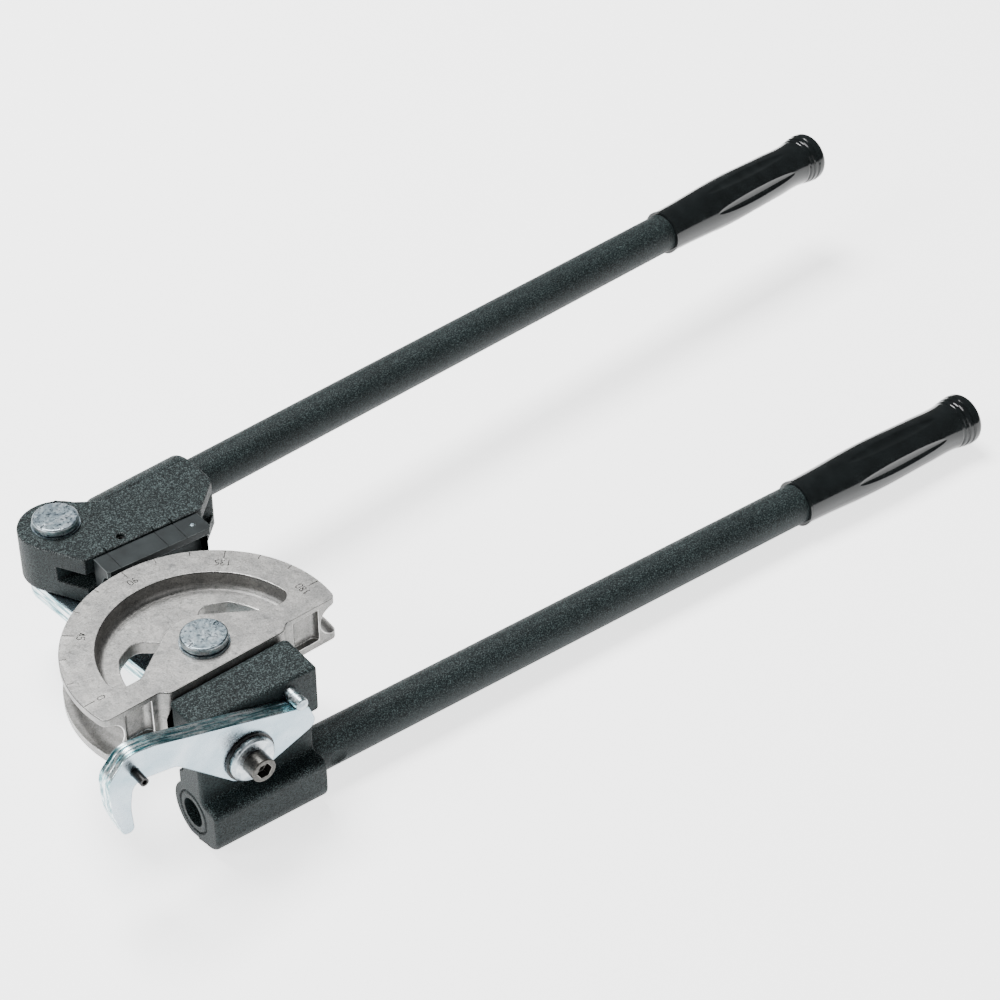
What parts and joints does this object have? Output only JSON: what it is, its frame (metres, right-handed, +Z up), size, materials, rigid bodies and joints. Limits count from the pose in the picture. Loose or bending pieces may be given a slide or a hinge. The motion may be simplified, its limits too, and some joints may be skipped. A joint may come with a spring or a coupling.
{
  "type": "manual tube bender",
  "caption": "Two-handled manual tube bender with a grooved half-round die, a linked forming shoe and a swinging tube latch.",
  "frame": {"origin": "on the die's pivot axis, in the plane of the bend", "axes": "+X along the fixed handle towards its grip, +Z up along the pivot axis, the link and the bending handle on the +Y side"},
  "size_m": [0.7155, 0.2857, 0.1011],
  "materials": {
    "cast_black": "wrinkle powder coat on casting",
    "tube_black": "textured powder coat on steel tube",
    "grip_black": "gloss black moulded grip",
    "die_aluminium": "satin cast aluminium",
    "zinc_plate": "bright zinc plate",
    "zinc_pin": "zinc plate, turned",
    "black_steel": "black oxide steel",
    "shoe_steel": "smooth dark phosphate",
    "bushing_bronze": "plain bearing bronze"
  },
  "bodies": {
    "frame": {"forming_die": "die_aluminium", "fixed_head": "cast_black", "fixed_handle_tube": "tube_black", "fixed_grip": "grip_black", "fixed_handle_pin": "black_steel", "die_pivot_pin": "zinc_pin", "die_pin_top_washer": "zinc_pin", "die_pin_washer": "zinc_pin", "die_pin_ring": "black_steel", "hook_screw": "black_steel", "hook_bushing": "bushing_bronze", "hook_flange_washer": "zinc_pin", "hook_spring_washer": "black_steel", "hook_stop_pin": "zinc_pin"},
    "link": {"link_plate_top": "zinc_plate", "link_plate_middle": "zinc_plate", "link_plate_bottom": "zinc_plate", "link_die_bushing": "bushing_bronze", "link_yoke_bushing": "bushing_bronze"},
    "arm": {"bending_yoke": "cast_black", "bending_handle_tube": "tube_black", "bending_grip": "grip_black", "bending_handle_pin": "black_steel", "forming_shoe": "shoe_steel", "shoe_roll_pins": "black_steel", "shoe_stud": "zinc_pin", "yoke_pivot_pin": "zinc_pin", "yoke_pin_top_washer": "zinc_pin", "yoke_pin_washer": "zinc_pin", "yoke_pin_ring": "black_steel"},
    "hook": {"hook_plate_front": "zinc_plate", "hook_plate_middle": "zinc_plate", "hook_plate_rear": "zinc_plate", "hook_finger_pin": "black_steel"}
  },
  "joints": [
    {"name": "link_swing", "type": "hinge", "parent": "frame", "child": "link", "pos_m": [0, 0, -0.022], "axis": [0, 0, 1], "range_deg": [-80, 101]},
    {"name": "arm_swing", "type": "hinge", "parent": "link", "child": "arm", "pos_m": [-0.01284, 0.13339, 0], "axis": [0, 0, 1], "range_deg": [-7.4, 90]},
    {"name": "hook_swing", "type": "hinge", "parent": "frame", "child": "hook", "pos_m": [-0.0137, -0.0555, -0.0142], "axis": [0, 1, 0], "range_deg": [0, 33]}
  ]
}
